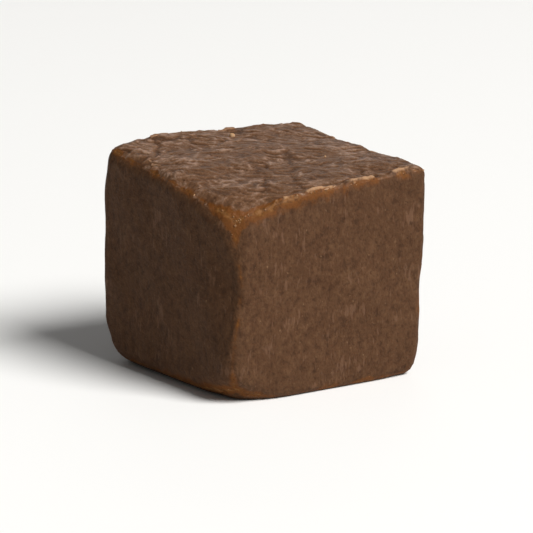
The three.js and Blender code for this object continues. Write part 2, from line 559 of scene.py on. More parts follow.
@dataclass(frozen=True)
class KnifeCut:
    """The sides where the knife went down: a smeared, close surface with drags and small pits.

    Attributes:
        smear: the knife's broad smears.
        grain: the sugar's grain, which the smearing nearly closed.
        drag: faint upright drags.
        smear_height, grain_height, drag_height: how high each stands.
        pits: small pits where a crumb came away on the blade.
        pit_depth, pit_radius, pit_least: their depth, their largest radius, and their least one
            as a share of that.
        pit_share: the share of the scattered places that have one.
    """

    smear: Grain = Grain((3.0, 3.0, 4.2), 21, 3)
    grain: Grain = Grain((0.75, 0.75, 0.8), 31, 2)
    drag: Grain = Grain((0.6, 0.6, 6.0), 41, 2)
    smear_height: float = 0.07
    grain_height: float = 0.03
    drag_height: float = 0.025
    pits: Spots = Spots(1.9, 51)
    pit_depth: float = 0.08
    pit_radius: float = 0.36
    pit_least: float = 0.4
    pit_share: float = 0.28

    def height(self, surface: Surface) -> Array:
        """The smear, grain and drag summed, less a round pit at the spots that have one.

        A pit is 1 - r^2 deep, where r is the distance from its middle over its radius. That
        radius runs from the least to the largest by the spot's own chance.

        Args:
            surface: the block's surface.

        Returns:
            The height of each point in millimetres.
        """
        points = surface.points
        total = self.smear_height * self.smear.at(points)
        total += self.grain_height * self.grain.at(points)
        total += self.drag_height * self.drag.at(points)
        away, luck = self.pits.nearest(points)
        size = self.pit_least + (1.0 - self.pit_least) * luck / self.pit_share
        radius = self.pit_radius * size
        pit = np.clip(1.0 - (away / radius) ** 2, 0.0, 1.0)
        return total - self.pit_depth * pit * (luck < self.pit_share)


@dataclass(frozen=True)
class Pucker:
    """One size of pucker in the dried skin: rounded bumps with narrow valleys between them.

    Attributes:
        grain: the noise whose zeros the valleys follow.
        height: how high the bumps stand above the valleys, in millimetres.
        show: this size's share of the painted sheen, the paler colour laid on the bumps' tops.
        level: how far up from valley to bump the undisturbed skin lies, from 0 to 1.
        ridged: whether narrow ridges follow the zeros instead, with rounded hollows between.
    """

    grain: Grain
    height: float
    show: float
    level: float = 0.6
    ridged: bool = False

    def bump(self, flat: Array, full: float) -> Array:
        """How far up a bump each point is: 1 - (1 - n)^2, or (1 - n)^2 on a ridged one.

        Args:
            flat: the points, turned and stretched as the skin is.
            full: the noise that counts as 1. Then n is its size over this, at most 1.

        Returns:
            0 in the valleys to 1 on the bumps.
        """
        noise = np.clip(np.abs(self.grain.at(flat)) / full, 0.0, 1.0)
        valley = (1.0 - noise) ** 2
        return valley if self.ridged else 1.0 - valley


@dataclass(frozen=True)
class DriedSkin:
    """The skin on top, which dried and puckered while the slab set.

    Attributes:
        heading: the way that the puckers are longest, in degrees from X.
        stretch: how many times longer than wide they are.
        bend, bend_amount: the unevenness that bends them, and how far it moves them.
        bend_apart: how far off the second bend is read, so that it is unlike the first.
        puckers: their sizes, from wide to fine.
        full: the noise at which a bump has its full height.
        calm, calm_loss: where the skin lies flatter, and how much of their height the puckers
            lose there.
        calm_from, calm_to: the calm's values at which they lose that much, and nothing.
        creases: the noise whose zeros the long, narrow creases follow.
        crease_width: the noise at which a crease has lost about two thirds of its depth.
        crease_depth: their depth.
        crease_from: the share of their height that the puckers have where creases begin.
        sag, sag_depth: the skin's broad hollows, and their depth.
    """

    heading: float = -33.0
    stretch: float = 1.7
    bend: Grain = Grain(even(2.2), 61, 2)
    bend_amount: float = 0.7
    bend_apart: float = 37.0
    puckers: tuple[Pucker, ...] = (
        Pucker(Grain(even(1.9), 71, 2), 0.08, 0.15),
        Pucker(Grain(even(1.05), 81), 0.13, 0.65, 0.35, True),
        Pucker(Grain(even(0.6), 86), 0.04, 0.2),
    )
    full: float = 0.5
    calm: Grain = Grain(even(3.8), 91, 2)
    calm_loss: float = 0.3
    calm_from: float = -0.25
    calm_to: float = 0.2
    creases: Grain = Grain(even(3.4), 95)
    crease_width: float = 0.04
    crease_depth: float = 0.1
    crease_from: float = 0.85
    sag: Grain = Grain(even(5.0), 101, 2)
    sag_depth: float = 0.14

    def shape(self, surface: Surface) -> tuple[Array, Array]:
        """The puckered skin.

        The points are turned to the heading, shortened along it by the stretch and moved by the
        bend. Each size of pucker adds its height times its bump, counted from its level. The
        calm lowers the puckers, the creases are bells round their noise's zeros, and the sag
        comes last.

        Args:
            surface: the block's surface.

        Returns:
            The skin's height in millimetres, and how far up a bump each point is, from 0 to 1. That
            guides the painted sheen on the bumps and the painted shade in the valleys.
        """
        points = surface.points
        angle = math.radians(self.heading)
        along = (points[:, 0] * math.cos(angle) + points[:, 1] * math.sin(angle)) / self.stretch
        across = points[:, 1] * math.cos(angle) - points[:, 0] * math.sin(angle)
        along += self.bend_amount * self.bend.at(points)
        across += self.bend_amount * self.bend.at(points + self.bend_apart)
        flat = np.stack([along, across, np.zeros(len(points))], axis=1)
        height = np.zeros(len(points))
        crest = np.zeros(len(points))
        for pucker in self.puckers:
            bump = pucker.bump(flat, self.full)
            height += pucker.height * (bump - pucker.level)
            crest += pucker.show * bump
        calmed = rise(self.calm.at(points), self.calm_from, self.calm_to)
        strong = (1.0 - self.calm_loss) + self.calm_loss * calmed
        creased = hump(self.creases.at(flat), self.crease_width) * (strong > self.crease_from)
        height = height * strong - self.crease_depth * creased
        return height + self.sag_depth * self.sag.at(points), crest * strong * (1.0 - creased)


class Edge(Enum):
    """The three kinds of edge: round the top, up the sides, and round the foot."""

    TOP = "top"
    UPRIGHT = "upright"
    FOOT = "foot"

    def distance(self, surface: Surface, block: CutBlock) -> Array:
        """The distance in millimetres to the nearest edge of this kind.

        A point lies as far from an upright edge as from the further one of the two sides that
        meet there. For the top and the foot, the nearer side and the height above or below count.

        Args:
            surface: the block's surface.
            block: its form.

        Returns:
            The distance, which is the block's length for the half that has no such edge.
        """
        half = np.stack(block.half_sides(surface.places), axis=1)
        x, y, z = (half * (1.0 - np.abs(surface.places))).T
        if self is Edge.UPRIGHT:
            return np.maximum(x, y)
        upper = surface.places[:, 2] > 0.0
        own_half = upper if self is Edge.TOP else ~upper
        return np.where(own_half, np.maximum(np.minimum(x, y), z), block.length)


@dataclass(frozen=True)
class Fray:
    """How far in from one kind of edge its wear goes, in millimetres.

    Attributes:
        edge: the kind of edge.
        rim: the width of the crumbled rim. It comes and goes where this is about 0.
        rind: the width of the drier, warmer band.
    """

    edge: Edge
    rim: float
    rind: float


@dataclass(frozen=True)
class SoftSpot:
    """A place where the rims are more worn, or less.

    Attributes:
        place: where it is, from -1 to 1 along X, Y and Z.
        reach: how far it reaches, as a share of half a side.
        rim, rind: how much wider the crumbled rim and the warmer band are there, in millimetres.
            Below 0 they are narrower.
    """

    place: Triple
    reach: float
    rim: float
    rind: float


@dataclass(frozen=True)
class WornRim:
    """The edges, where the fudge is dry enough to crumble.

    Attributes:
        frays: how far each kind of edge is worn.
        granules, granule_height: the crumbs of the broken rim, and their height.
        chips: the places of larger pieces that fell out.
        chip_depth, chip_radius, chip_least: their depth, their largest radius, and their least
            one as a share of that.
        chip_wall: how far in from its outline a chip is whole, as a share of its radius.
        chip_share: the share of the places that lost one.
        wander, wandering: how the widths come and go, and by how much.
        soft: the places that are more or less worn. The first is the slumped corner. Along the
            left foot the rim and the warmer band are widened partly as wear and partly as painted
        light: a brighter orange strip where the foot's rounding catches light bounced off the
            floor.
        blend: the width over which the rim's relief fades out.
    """

    frays: tuple[Fray, ...] = (
        Fray(Edge.TOP, 0.2, 0.8),
        Fray(Edge.UPRIGHT, -0.4, -0.35),
        Fray(Edge.FOOT, -0.1, 0.15),
    )
    granules: Spots = Spots(0.6, 121)
    granule_height: float = 0.16
    chips: Spots = Spots(1.5, 131)
    chip_depth: float = 0.12
    chip_radius: float = 0.55
    chip_least: float = 0.45
    chip_wall: float = 0.7
    chip_share: float = 0.3
    wander: Grain = Grain(even(2.6), 141, 3)
    wandering: float = 1.3
    soft: tuple[SoftSpot, ...] = (
        SoftSpot((-1.0, -1.0, 1.0), 0.25, 0.25, 1.5),
        SoftSpot((-0.4, -1.0, 1.0), 0.35, 0.15, 0.25),
        SoftSpot((0.9, -1.0, 1.0), 0.35, -0.3, -0.8),
        SoftSpot((-1.0, 0.4, 1.0), 0.8, -0.1, -0.35),
        SoftSpot((-1.0, -1.0, -1.0), 0.42, 0.4, 0.7),
        # Left foot: partly wear, partly painted light, a brighter orange strip standing in for
        # light bounced off the floor onto the foot's rounding.
        SoftSpot((-1.0, -0.3, -1.0), 0.6, 0.5, 1.1),
        SoftSpot((1.0, -1.0, -0.6), 0.5, 0.05, 0.35),
    )
    blend: float = 0.35

    def bands(self, surface: Surface, block: CutBlock) -> tuple[Array, Array]:
        """How far each point lies inside the crumbled rim and the warmer band, in millimetres.

        That is the width less the distance to the edge, for the edge that gives the most. The
        wander widens and narrows both, and so does a bell round each soft spot.

        Args:
            surface: the block's surface.
            block: its form.

        Returns:
            The depth inside the rim and inside the band. Both are below 0 outside.
        """
        wander = self.wandering * self.wander.at(surface.points)
        rim_more, rind_more = wander.copy(), wander.copy()
        for spot in self.soft:
            away = np.linalg.norm(surface.places - np.array(spot.place), axis=1)
            rim_more += spot.rim * hump(away, spot.reach)
            rind_more += spot.rind * hump(away, spot.reach)
        rim = np.full(len(wander), -np.inf)
        rind = np.full(len(wander), -np.inf)
        for fray in self.frays:
            distance = fray.edge.distance(surface, block)
            rim = np.maximum(rim, fray.rim + rim_more - distance)
            rind = np.maximum(rind, fray.rind + rind_more - distance)
        return rim, rind

    def height(self, surface: Surface, block: CutBlock) -> Array:
        """The rim's relief: its granules, less the chips, fading out at the rim's inner side.

        A granule is a cone that falls by its height over one spacing, times 0.5 to 1.5 by its
        own chance. A chip is a soft step down across its wall, and its radius runs from the
        least to the largest by its own chance.

        Args:
            surface: the block's surface.
            block: its form.

        Returns:
            The height of each point in millimetres.
        """
        away, luck = self.granules.nearest(surface.points)
        cone = 0.5 - away / self.granules.spacing
        total = self.granule_height * cone * (0.5 + luck)
        far, chip_luck = self.chips.nearest(surface.points)
        size = self.chip_least + (1.0 - self.chip_least) * chip_luck / self.chip_share
        inside = 1.0 - far / (self.chip_radius * size)
        chip = rise(inside, 0.0, self.chip_wall) * (chip_luck < self.chip_share)
        rim = self.bands(surface, block)[0]
        return (total - self.chip_depth * chip) * rise(rim, -self.blend, self.blend)


@dataclass(frozen=True)
class Run:
    """A stretch of the dragged lip: where it begins and ends along X, and how high it stands.

    Attributes:
        start, end: millimetres along X.
        share: its height, as a share of the lip's.
    """

    start: float
    end: float
    share: float


@dataclass(frozen=True)
class DraggedLip:
    """The ragged lip of skin that the knife dragged up behind the front top edge.

    Attributes:
        runs, run_in: its stretches, and half the length over which each rises and falls.
        behind: how far behind the edge its crest lies, in millimetres.
        height, overhang, width: how high it stands, how far out it leans, and half its width.
        tatter: its torn outline.
    """

    runs: tuple[Run, ...] = (
        Run(-6.4, -3.0, 0.65),
        Run(-2.7, 0.9, 1.05),
        Run(2.5, 6.0, 1.3),
        Run(8.1, 10.6, 1.0),
    )
    run_in: float = 0.5
    behind: float = 0.5
    height: float = 0.36
    overhang: float = 0.1
    width: float = 0.4
    tatter: Tear = Tear(Grain(even(0.8), 151, 3), 0.8, 0.8, 0.1, 1.3)

    def raised(self, surface: Surface, block: CutBlock) -> Array:
        """How far the lip is raised, as a share of its height.

        A soft step lifts each run at its start and another lowers it at its end. The tatter
        changes that height, and a bell of the distance from the crest's line thins it out.

        Args:
            surface: the block's surface.
            block: its form.

        Returns:
            The share at each point, which is 0 where there is no lip.
        """
        v, w = surface.places.T[1:]
        _, half_width, half_height = block.half_sides(surface.places)
        away = np.hypot(half_width * (1.0 + v) - self.behind, half_height * (1.0 - w))
        x = surface.points[:, 0]
        lift = np.zeros(len(x))
        for run in self.runs:
            begun = rise(x, run.start - self.run_in, run.start + self.run_in)
            ended = rise(x, run.end + self.run_in, run.end - self.run_in)
            lift = np.maximum(lift, run.share * begun * ended)
        return lift * self.tatter.kept(surface.points) * hump(away, self.width)

    def move(self, surface: Surface, block: CutBlock) -> Array:
        """The move of each point: up by the height and out by the overhang, as it is raised.

        Args:
            surface: the block's surface.
            block: its form.

        Returns:
            The moves in millimetres, of shape (N, 3).
        """
        raised = self.raised(surface, block)
        zero = np.zeros_like(raised)
        return np.stack([zero, -self.overhang * raised, self.height * raised], axis=1)


# ---------------------------------------------------------------------------------------------
# Finishes
# ---------------------------------------------------------------------------------------------

def linear(colour: str) -> tuple[float, float, float, float]:
    """Turns a colour as it is seen, such as "#6a4a38", into the linear light that nodes take.

    Each channel c from 0 to 1 becomes ((c + 0.055) / 1.055)^2.4, or c / 12.92 below 0.04045.

    Args:
        colour: an sRGB hex value.

    Returns:
        Red, green, blue and an opacity of 1.
    """
    channels = [int(colour[i : i + 2], 16) / 255.0 for i in (1, 3, 5)]
    light = [c / 12.92 if c <= 0.04045 else ((c + 0.055) / 1.055) ** 2.4 for c in channels]
    return light[0], light[1], light[2], 1.0


def add_node(
    tree: bpy.types.NodeTree, kind: str, inputs: dict[str, object], **settings: object
) -> bpy.types.Node:
    """Adds one node to a material, with its settings, its values and its links.

    Args:
        tree: the material's nodes.
        kind: the node's type name.
        inputs: for each socket, by name or identifier, the output that is linked to it or the
            value that is set on it. A colour may be a string such as "#6a4a38".
        settings: the node's own properties.

    Returns:
        The node.
    """
    node = tree.nodes.new(kind)
    for name, value in settings.items():
        setattr(node, name, value)
    for name, value in inputs.items():
        socket = next(s for s in node.inputs if name in (s.identifier, s.name))
        if isinstance(value, bpy.types.NodeSocket):
            tree.links.new(value, socket)
        else:
            socket.default_value = linear(value) if isinstance(value, str) else value
    return node


class Mark(Enum):
    """What the mesh tells its material about each point, by the attribute's name.

    SKIN is 1 on the dried skin. RIM and RIND are how far inside the crumbled rim and the warmer
    band a point lies, in millimetres. RELIEF is how far it is raised; where it lies deep, it guides
    painted shade. CREST is how far up one of the skin's bumps it is, and guides the painted sheen
    on the bumps and the painted shade in the valleys. LIP is how far the knife dragged it out.
    """

    SKIN = "skin"
    RIM = "rim"
    RIND = "rind"
    RELIEF = "relief"
    CREST = "crest"
    LIP = "lip"


class Pattern(Enum):
    """The fudge's noises: each one's grain along X, Y and Z in millimetres, and its detail.

    CLOUD and PATCH are one batch's broad shades, about 3 mm across. MOTTLE is its clumps of
    sugar, and TORN the raggedness of a torn rim, both just under 1 mm. DRAG is the blade's
    smears, four times as tall as wide, and LEATHER the finest wrinkles of the skin. The sugar's
    own grain, under 0.05 mm, is too fine to show, so GRIT and FLECK are drawn as coarse as they
    need to be to show.
    """

    CLOUD = ((2.8, 2.8, 2.8), 2.0)
    MOTTLE = ((0.72, 0.72, 0.9), 2.0)
    GRIT = ((0.28, 0.28, 0.32), 1.0)
    FLECK = ((0.45, 0.45, 0.6), 1.0)
    DRAG = ((0.34, 0.34, 1.4), 1.0)
    PATCH = ((3.4, 3.4, 2.6), 1.0)
    LEATHER = ((0.42, 0.42, 0.42), 3.0)
    TORN = ((0.9, 0.9, 0.9), 4.0)


class Blend(Enum):
    """Two guides in one: the first, plus so many times the second, which makes it ragged."""

    RIND = (Mark.RIND, Pattern.TORN, 0.3)
    RIM = (Mark.RIM, Pattern.TORN, 0.25)
    CRUMBLE = (Mark.RIM, Pattern.TORN, 0.4)
    SHADE = (Mark.RIM, Pattern.GRIT, -0.25)
    SKIN = (Mark.SKIN, Pattern.MOTTLE, 0.14)
    STREAK = (Pattern.PATCH, Pattern.DRAG, 1.0)
    # CREST guides the skin's painted sheen on the bumps and painted shade in the valleys.
    CREST = (Mark.CREST, Pattern.LEATHER, 0.1)
    LIP = (Mark.LIP, Pattern.TORN, 0.3)
    TOOTH = (Pattern.GRIT, Pattern.MOTTLE, 1.0)


Guide = Mark | Pattern | Blend


@dataclass(frozen=True)
class Coat:
    """A colour that is laid over those before it.

    Attributes:
        colour: the colour.
        guide: what says where it lies.
        bare, full: the guide's values at which it is bare and at which it has its full strength.
        most: how much of what is below it then hides, from 0 to 1.
    """

    colour: str
    guide: Guide
    bare: float
    full: float
    most: float


@dataclass(frozen=True)
class Glow:
    """How light sinks into fudge and comes out again beside where it went in.

    Attributes:
        weight: the share of the light that does.
        red, green, blue: how far each colour goes, as shares of the reach.
        reach: the furthest that it goes, in millimetres.
    """

    weight: float
    red: float
    green: float
    blue: float
    reach: float

    def inputs(self) -> dict[str, object]:
        """Gives the values that the shader's sockets take.

        Returns:
            The values, by the names of their sockets.
        """
        return {
            "Subsurface Weight": self.weight,
            "Subsurface Radius": (self.red, self.green, self.blue),
            "Subsurface Scale": self.reach * MM,
        }


@dataclass(frozen=True)
class FudgeFinish:
    """Beaten chocolate fudge, as cut and as dried.

    Attributes:
        cut, cut_dark, cut_light: the cut sides' brown, and the browns of their mottle.
        streak, fleck: the knife's pale smears, and grains of sugar that the beating left.
        rind, rim, rim_pale: the drier band along the edges, the rim itself, and its crumbs.
        lip: the dragged skin, which dried through.
        skin, crest, furrow: the dried skin; painted sheen, the paler colour laid on its bumps'
            tops;
        and painted shade in the valleys between them. The last two also tint the finest wrinkles
        at random.
        hollow_shade: painted shade, laid where the relief lies deep, in pits, chips and creases.
        noise_spread: how far each noise keeps from its middle, which becomes 1.
        noise_falloff: how much of the last layer's height each finer layer of a noise has.
        skin_begins, skin_whole: the ragged skin's values between which it covers the cut.
        cut_roughness, skin_roughness: how dull the cut sides and the skin are.
        tooth: how high the finest grain stands, in millimetres.
        ior: sugar's and cocoa's, together.
        sheen: how much the surface mirrors. 0.5 would be a clean, smooth face.
        glow: how light sinks in.
    """

    cut: str = "#4d3422"
    cut_dark: str = "#3b2618"
    cut_light: str = "#5d422d"
    streak: str = "#6e513e"
    fleck: str = "#83654a"
    rind: str = "#673c17"
    rim: str = "#69421b"
    rim_pale: str = "#855b34"
    lip: str = "#9f7c5d"
    skin: str = "#634631"
    # Painted sheen: a paler colour on the skin's bumps, standing in for the satin glint they catch.
    crest: str = "#9b7e6b"
    # Painted shade in the skin's valleys and creases; on the finest wrinkles, a dark tone at
    # random.
    furrow_shade_and_tone: str = "#412a1b"
    # Painted shade, laid where the relief lies deep.
    hollow_shade: str = "#2c1a10"
    noise_spread: float = 0.15
    noise_falloff: float = 0.6
    skin_begins: float = 0.35
    skin_whole: float = 0.65
    cut_roughness: float = 0.68
    skin_roughness: float = 0.5
    tooth: float = 0.013
    ior: float = 1.45
    sheen: float = 0.1
    glow: Glow = Glow(0.08, 1.0, 0.4, 0.2, 0.5)

    def guides(self, tree: bpy.types.NodeTree) -> dict[Guide, bpy.types.NodeSocket]:
        """Adds the nodes that read the marks, make the patterns and blend them.

        Args:
            tree: the material's nodes.

        Returns:
            The output that gives each guide. A pattern's runs from about -1 to 1.
        """
        found: dict[Guide, bpy.types.NodeSocket] = {}
        for mark in Mark:
            node = add_node(tree, "ShaderNodeAttribute", {}, attribute_name=mark.value)
            found[mark] = node.outputs["Fac"]
        spot = add_node(tree, "ShaderNodeTexCoord", {}).outputs["Object"]
        low, high = 0.5 - self.noise_spread, 0.5 + self.noise_spread
        for pattern in Pattern:
            size, detail = pattern.value
            scale = tuple(1.0 / (side * MM) for side in size)
            inputs = {"Vector": spot, "Scale": scale}
            sized = add_node(tree, "ShaderNodeMapping", inputs).outputs[0]
            inputs = {"Vector": sized, "Scale": 1.0, "Detail": detail}
            inputs["Roughness"] = self.noise_falloff
            noise = add_node(tree, "ShaderNodeTexNoise", inputs).outputs[0]
            inputs = {"Value": noise, "From Min": low, "From Max": high, "To Min": -1.0}
            node = add_node(tree, "ShaderNodeMapRange", inputs, clamp=False)
            found[pattern] = node.outputs[0]
        for blend in Blend:
            first, second, times = blend.value
            inputs = {"Value": found[second], "Value_001": times, "Value_002": found[first]}
            node = add_node(tree, "ShaderNodeMath", inputs, operation="MULTIPLY_ADD")
            found[blend] = node.outputs[0]
        return found

    def cut_coats(self) -> tuple[Coat, ...]:
        """The cut sides' coats: cloud, mottle and grit, smears and sugar, then the rims.

        Returns:
            The coats, in the order in which they are laid.
        """
        return (
            Coat(self.cut_light, Pattern.CLOUD, -0.8, 1.6, 0.35),
            Coat(self.cut_dark, Pattern.MOTTLE, 0.1, -1.5, 0.6),
            Coat(self.cut_light, Pattern.MOTTLE, 0.1, 1.5, 0.65),
            Coat(self.cut_dark, Pattern.GRIT, -0.2, -1.5, 0.5),
            Coat(self.cut_light, Pattern.GRIT, 0.4, 1.6, 0.45),
            Coat(self.streak, Blend.STREAK, 1.0, 2.2, 0.45),
            Coat(self.cut_dark, Pattern.DRAG, -0.9, -2.0, 0.3),
            Coat(self.fleck, Pattern.FLECK, 1.55, 2.4, 0.7),
            Coat(self.rind, Blend.RIND, -0.55, 0.35, 0.45),
            Coat(self.rind, Blend.RIND, -0.05, 0.35, 0.5),
            Coat(self.rim, Blend.RIM, -0.15, 0.3, 0.6),
            Coat(self.cut_dark, Pattern.MOTTLE, -0.4, -1.8, 0.5),
        )

    def skin_coats(self) -> tuple[Coat, ...]:
        """The skin's coats: painted shade in the valleys and painted sheen on the bumps, blotches
        and grit, then the rims.

        Returns:
            The coats, in the order in which they are laid.
        """
        return (
            # Painted shade in the valleys and painted sheen on the bumps' tops, by how far up a
            # bump a point is.
            Coat(self.furrow_shade_and_tone, Blend.CREST, 0.38, 0.02, 0.75),
            Coat(self.crest, Blend.CREST, 0.38, 0.95, 0.8),
            Coat(self.cut_light, Pattern.CLOUD, 0.0, 1.6, 0.35),
            Coat(self.furrow_shade_and_tone, Pattern.LEATHER, -0.3, -1.6, 0.5),
            Coat(self.crest, Pattern.LEATHER, 0.6, 1.6, 0.4),
            Coat(self.rind, Blend.RIND, 0.0, 0.65, 0.85),
            Coat(self.rim, Blend.RIM, 0.0, 0.4, 0.6),
        )

    def last_coats(self) -> tuple[Coat, ...]:
        """The coats over both: the rim's dark and pale crumbs, its lip, and painted shade where the
        relief lies deep.

        Returns:
            The coats, in the order in which they are laid.
        """
        return (
            Coat(self.cut_dark, Blend.SHADE, 0.15, 0.55, 0.5),
            Coat(self.rim_pale, Blend.CRUMBLE, 0.15, 0.9, 0.7),
            Coat(self.lip, Blend.LIP, 0.35, 0.95, 0.9),
            # Painted shade: darker where the relief lies deep.
            Coat(self.hollow_shade, Mark.RELIEF, -0.14, -0.34, 0.4),
        )

    def material(self) -> bpy.types.Material:
        """Makes the material.

        Chocolate fudge, beaten until its sugar grained and cut when it had set. The beating
        gives the close, dull, mottled brown of the sides, the knife its faint upright smears,
        and the air the satin, puckered skin and the drier, warmer rims. The paler tops of the
        skin's bumps are painted sheen, and its valleys and the deep places are painted shade.

        Returns:
            The material, which reads the mesh's marks and Object coordinates in millimetres.
        """
        material, tree = new_material("chocolate fudge, beaten, set and cut")
        guides = self.guides(tree)
        cut = paint(tree, self.cut, self.cut_coats(), guides)
        skin = paint(tree, self.skin, self.skin_coats(), guides)
        inputs = {"Value": guides[Blend.SKIN]}
        inputs |= {"From Min": self.skin_begins, "From Max": self.skin_whole}
        on_skin = add_node(tree, "ShaderNodeMapRange", inputs).outputs[0]
        inputs = {"Factor_Float": on_skin, "A_Color": cut, "B_Color": skin}
        colour = add_node(tree, "ShaderNodeMix", inputs, data_type="RGBA").outputs[2]
        colour = paint(tree, colour, self.last_coats(), guides)
        inputs = {"Value": on_skin, "To Min": self.cut_roughness, "To Max": self.skin_roughness}
        rough = add_node(tree, "ShaderNodeMapRange", inputs).outputs[0]
        inputs = {"Height": guides[Blend.TOOTH], "Distance": self.tooth * MM, "Strength": 1.0}
        bump = add_node(tree, "ShaderNodeBump", inputs).outputs[0]
        shader = add_node(
            tree,
            "ShaderNodeBsdfPrincipled",
            {
                "Base Color": colour,
                "Roughness": rough,
                "Normal": bump,
                "IOR": self.ior,
                "Specular IOR Level": self.sheen,
            }
            | self.glow.inputs(),
        )
        add_node(tree, "ShaderNodeOutputMaterial", {"Surface": shader.outputs[0]})
        return material


def new_material(name: str) -> tuple[bpy.types.Material, bpy.types.NodeTree]:
    """Makes a material that has no nodes yet.

    Args:
        name: what it is called.

    Returns:
        The material and its node tree.
    """
    material = bpy.data.materials.new(name)
    material.use_nodes = True
    material.node_tree.nodes.clear()
    return material, material.node_tree


def paint(
    tree: bpy.types.NodeTree,
    base: str | bpy.types.NodeSocket,
    coats: tuple[Coat, ...],
    guides: dict[Guide, bpy.types.NodeSocket],
) -> bpy.types.NodeSocket:
    """Lays coats over a base, each by a soft step of its guide.

    Args:
        tree: the material's nodes.
        base: a colour, or the output that gives it.
        coats: what is laid over it, in order.
        guides: the output that gives each guide.

    Returns:
        The output that gives the finished colour.
    """
    for coat in coats:
        # A soft step needs its lower value first, so a coat of the low values starts full.
        falling = coat.full < coat.bare
        inputs = {
            "Value": guides[coat.guide],
            "From Min": coat.full if falling else coat.bare,
            "From Max": coat.bare if falling else coat.full,
            "To Min": coat.most if falling else 0.0,
            "To Max": 0.0 if falling else coat.most,
        }
        kind = "ShaderNodeMapRange"
        share = add_node(tree, kind, inputs, interpolation_type="SMOOTHSTEP").outputs[0]
        inputs = {"Factor_Float": share, "A_Color": base, "B_Color": coat.colour}
        base = add_node(tree, "ShaderNodeMix", inputs, data_type="RGBA").outputs[2]
    return base


@dataclass(frozen=True)
class DryFinish:
    """Fudge that dried through: paler than the block, dull, and each bit its own shade.

    Attributes:
        name: what it is.
        dark, light: its browns, between which the shades run.
        grit: the size of its sugar's grain in millimetres, drawn as coarse as it needs to be to
            show.
        gritty: how much the grain changes the shade.
        darkest, lightest: the sums of shade and grain that are the dark and the light brown.
        tooth, tooth_strength: how high the grain stands in millimetres, and how sharply.
        roughness, ior, sheen: how dull it is, its IOR, and how much it mirrors.
        glow: how light sinks in.
    """

    name: str
    dark: str
    light: str
    grit: float = 0.2
    gritty: float = 0.9
    darkest: float = 0.4
    lightest: float = 1.5
    tooth: float = 0.05
    tooth_strength: float = 0.6
    roughness: float = 0.75
    ior: float = 1.45
    sheen: float = 0.2
    glow: Glow = Glow(0.15, 1.0, 0.45, 0.22, 0.4)

    def material(self) -> bpy.types.Material:
        """Makes the material.

        Fudge that the knife or the fingers rubbed off or tore. It dried through, so that its
        sugar shows pale and dull, and no two bits took up the same shade.

        Returns:
            The material, which reads each point's own shade from the mesh.
        """
        material, tree = new_material(self.name)
        shade = add_node(tree, "ShaderNodeAttribute", {}, attribute_name="shade").outputs["Fac"]
        spot = add_node(tree, "ShaderNodeTexCoord", {}).outputs["Object"]
        inputs = {"Vector": spot, "Scale": 1.0 / (self.grit * MM), "Detail": 2.0}
        fine = add_node(tree, "ShaderNodeTexNoise", inputs).outputs[0]
        inputs = {"Value": fine, "Value_001": self.gritty, "Value_002": shade}
        share = add_node(tree, "ShaderNodeMath", inputs, operation="MULTIPLY_ADD").outputs[0]
        inputs = {"Value": share, "From Min": self.darkest, "From Max": self.lightest}
        share = add_node(tree, "ShaderNodeMapRange", inputs).outputs[0]
        inputs = {"Factor_Float": share, "A_Color": self.dark, "B_Color": self.light}
        colour = add_node(tree, "ShaderNodeMix", inputs, data_type="RGBA").outputs[2]
        inputs = {"Height": fine, "Distance": self.tooth * MM, "Strength": self.tooth_strength}
        bump = add_node(tree, "ShaderNodeBump", inputs).outputs[0]
        shader = add_node(
            tree,
            "ShaderNodeBsdfPrincipled",
            {
                "Base Color": colour,
                "Roughness": self.roughness,
                "Normal": bump,
                "IOR": self.ior,
                "Specular IOR Level": self.sheen,
            }
            | self.glow.inputs(),
        )
        add_node(tree, "ShaderNodeOutputMaterial", {"Surface": shader.outputs[0]})
        return material


# ---------------------------------------------------------------------------------------------
# Pieces
# ---------------------------------------------------------------------------------------------

def make_piece(
    name: str, points: Array, quads: Whole, marks: dict[str, Array], material: bpy.types.Material
) -> bpy.types.Object:
    """Puts a surface into a mesh and shows it, riding on the body.

    Args:
        name: the piece's name.
        points: where its vertices are, in millimetres.
        quads: the four vertices of each face, counter-clockwise from outside.
        marks: a number for each vertex, by the name of its attribute.
        material: what it is dressed in.

    Returns:
        The object, at the origin.
    """
    mesh = bpy.data.meshes.new(name)
    mesh.vertices.add(len(points))
    mesh.vertices.foreach_set("co", (points * MM).astype(np.float32).ravel())
    mesh.loops.add(quads.size)
    mesh.loops.foreach_set("vertex_index", quads.astype(np.int32).ravel())
    mesh.polygons.add(len(quads))
    mesh.polygons.foreach_set("loop_start", np.arange(0, quads.size, 4, dtype=np.int32))
    for key, values in marks.items():
        mark = mesh.attributes.new(key, "FLOAT", "POINT")
        mark.data.foreach_set("value", values.astype(np.float32))
    mesh.update(calc_edges=True)
    mesh.validate()
    mesh.shade_smooth()
    mesh.materials.append(material)
    piece = bpy.data.objects.new(name, mesh)
    bpy.context.collection.objects.link(piece)
    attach(piece, BODY)
    log.info("%s: %d vertices, %d faces", name, len(points), len(quads))
    return piece


